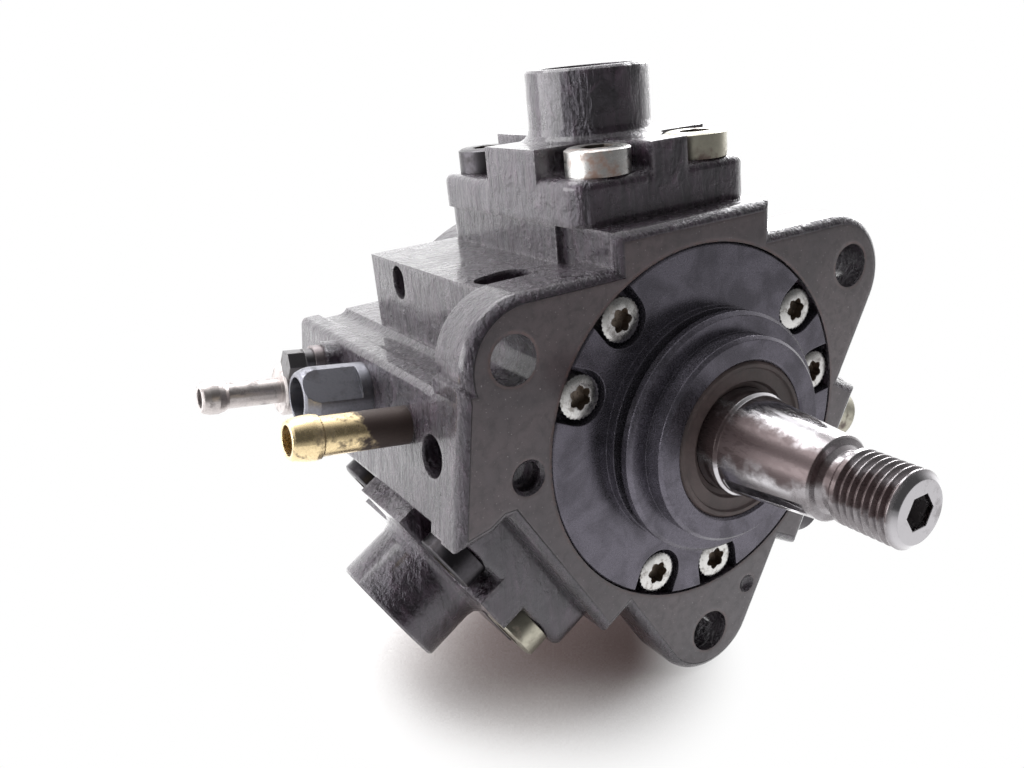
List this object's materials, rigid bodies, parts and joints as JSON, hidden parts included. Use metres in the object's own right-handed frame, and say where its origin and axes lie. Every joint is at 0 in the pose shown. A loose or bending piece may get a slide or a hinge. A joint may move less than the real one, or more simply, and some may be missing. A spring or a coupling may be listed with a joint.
{
  "type": "radial diesel injection pump",
  "caption": "Radial plunger injection pump with a three-lobed flange, tapered drive shaft, plunger heads round an eccentric, hose nozzles and a metering unit at the back.",
  "frame": {"origin": "centre of the pilot at the machined mounting face", "axes": "+Z towards the top head, the drive shaft leaves along -Y, +X to the right seen from the shaft end"},
  "size_m": [0.153, 0.151, 0.131],
  "materials": {
    "pump_housing": "satin, oily",
    "front_cover": "phosphated, machined lands",
    "steel_bright": "galvanised",
    "steel_ground": "ground",
    "steel_dark": "blackened",
    "head_cast": "satin, oily",
    "rubber": "matt",
    "seal": "matt",
    "bronze": "machined",
    "brass": "worn",
    "steel_dull": "grimy",
    "aluminium_can": "satin",
    "plastic": "moulded"
  },
  "bodies": {
    "pump_body": {"pump_housing": "pump_housing", "front_cover": "front_cover", "cover_screws": "steel_bright", "cover_o_ring": "rubber", "shaft_seal": "seal", "front_bush": "bronze", "rear_bush": "bronze", "top_head": "head_cast", "top_head_screws": "steel_bright", "top_head_plug": "steel_dark", "top_head_o_ring": "rubber", "top_inlet_spring": "steel_bright", "top_outlet_spring": "steel_bright", "top_outlet_plug": "steel_dark", "top_plunger_spring": "steel_bright", "left_head": "head_cast", "left_head_screws": "steel_bright", "left_head_plug": "steel_dark", "left_head_o_ring": "rubber", "left_inlet_spring": "steel_bright", "left_outlet_spring": "steel_bright", "left_outlet_plug": "steel_dark", "left_plunger_spring": "steel_bright", "right_head": "head_cast", "right_head_screws": "steel_bright", "right_head_plug": "steel_dark", "right_head_o_ring": "rubber", "right_inlet_spring": "steel_bright", "right_outlet_spring": "steel_bright", "right_outlet_plug": "steel_dark", "right_plunger_spring": "steel_bright", "return_nozzle": "brass", "high_pressure_outlet": "steel_dark", "inlet_nozzle": "steel_dull", "retaining_plate": "steel_dark", "plate_bolt": "steel_dark", "metering_unit": "aluminium_can", "metering_connector": "plastic", "metering_spring": "steel_bright", "metering_screws": "steel_bright"},
    "drive_shaft": {"drive_shaft": "steel_ground"},
    "cam_ring": {"polygon_ring": "steel_ground", "ring_bush": "bronze"},
    "thrust_washer": {"thrust_washer": "bronze"},
    "metering_spool": {"metering_spool": "steel_ground"},
    "top_plunger": {"top_plunger": "steel_ground", "top_spring_plate": "steel_dull"},
    "top_inlet_valve": {"top_inlet_valve": "steel_ground"},
    "top_outlet_ball": {"top_outlet_ball": "steel_ground"},
    "left_plunger": {"left_plunger": "steel_ground", "left_spring_plate": "steel_dull"},
    "left_inlet_valve": {"left_inlet_valve": "steel_ground"},
    "left_outlet_ball": {"left_outlet_ball": "steel_ground"},
    "right_plunger": {"right_plunger": "steel_ground", "right_spring_plate": "steel_dull"},
    "right_inlet_valve": {"right_inlet_valve": "steel_ground"},
    "right_outlet_ball": {"right_outlet_ball": "steel_ground"}
  },
  "joints": [
    {"name": "shaft_spin", "type": "hinge", "parent": "pump_body", "child": "drive_shaft", "pos_m": [0, 0, 0], "axis": [0, -1, 0], "continuous": true},
    {"name": "ring_spin", "type": "hinge", "parent": "drive_shaft", "child": "cam_ring", "pos_m": [0, 0.0335, 0.0034], "axis": [0, -1, 0], "continuous": true},
    {"name": "washer_spin", "type": "hinge", "parent": "drive_shaft", "child": "thrust_washer", "pos_m": [0, 0.043, 0.0017], "axis": [0, -1, 0], "continuous": true},
    {"name": "top_plunger_stroke", "type": "hinge", "parent": "thrust_washer", "child": "top_plunger", "pos_m": [0, 0.0335, 0.0034], "axis": [0, -1, 0], "continuous": true, "deforming": ["top_plunger_spring"]},
    {"name": "left_plunger_stroke", "type": "hinge", "parent": "thrust_washer", "child": "left_plunger", "pos_m": [0.00147, 0.0335, 0.00085], "axis": [0, -1, 0], "continuous": true, "deforming": ["left_plunger_spring"]},
    {"name": "right_plunger_stroke", "type": "hinge", "parent": "thrust_washer", "child": "right_plunger", "pos_m": [-0.00147, 0.0335, 0.00085], "axis": [0, -1, 0], "continuous": true, "deforming": ["right_plunger_spring"]},
    {"name": "top_inlet_lift", "type": "slide", "parent": "pump_body", "child": "top_inlet_valve", "axis": [0, 0, -1], "range_m": [0, 0.0008], "stiffness_N_per_m": 300, "springref_m": -0.0008, "deforming": ["top_inlet_spring"]},
    {"name": "top_outlet_lift", "type": "slide", "parent": "pump_body", "child": "top_outlet_ball", "axis": [0, 1, 0], "range_m": [0, 0.0008], "stiffness_N_per_m": 300, "springref_m": -0.0008, "deforming": ["top_outlet_spring"]},
    {"name": "left_inlet_lift", "type": "slide", "parent": "pump_body", "child": "left_inlet_valve", "axis": [0.866, 0, 0.5], "range_m": [0, 0.0008], "stiffness_N_per_m": 300, "springref_m": -0.0008, "deforming": ["left_inlet_spring"]},
    {"name": "left_outlet_lift", "type": "slide", "parent": "pump_body", "child": "left_outlet_ball", "axis": [0, 1, 0], "range_m": [0, 0.0008], "stiffness_N_per_m": 300, "springref_m": -0.0008, "deforming": ["left_outlet_spring"]},
    {"name": "right_inlet_lift", "type": "slide", "parent": "pump_body", "child": "right_inlet_valve", "axis": [-0.866, 0, 0.5], "range_m": [0, 0.0008], "stiffness_N_per_m": 300, "springref_m": -0.0008, "deforming": ["right_inlet_spring"]},
    {"name": "right_outlet_lift", "type": "slide", "parent": "pump_body", "child": "right_outlet_ball", "axis": [0, 1, 0], "range_m": [0, 0.0008], "stiffness_N_per_m": 300, "springref_m": -0.0008, "deforming": ["right_outlet_spring"]},
    {"name": "spool_slide", "type": "slide", "parent": "pump_body", "child": "metering_spool", "axis": [0, 1, 0], "range_m": [0, 0.003], "stiffness_N_per_m": 500, "springref_m": -0.002, "deforming": ["metering_spring"]}
  ],
  "couplings": [
    {"joint": "ring_spin", "follows": "shaft_spin", "ratio": -1},
    {"joint": "washer_spin", "follows": "shaft_spin", "ratio": -2},
    {"joint": "top_plunger_stroke", "follows": "shaft_spin", "ratio": 1},
    {"joint": "left_plunger_stroke", "follows": "shaft_spin", "ratio": 1},
    {"joint": "right_plunger_stroke", "follows": "shaft_spin", "ratio": 1}
  ]
}
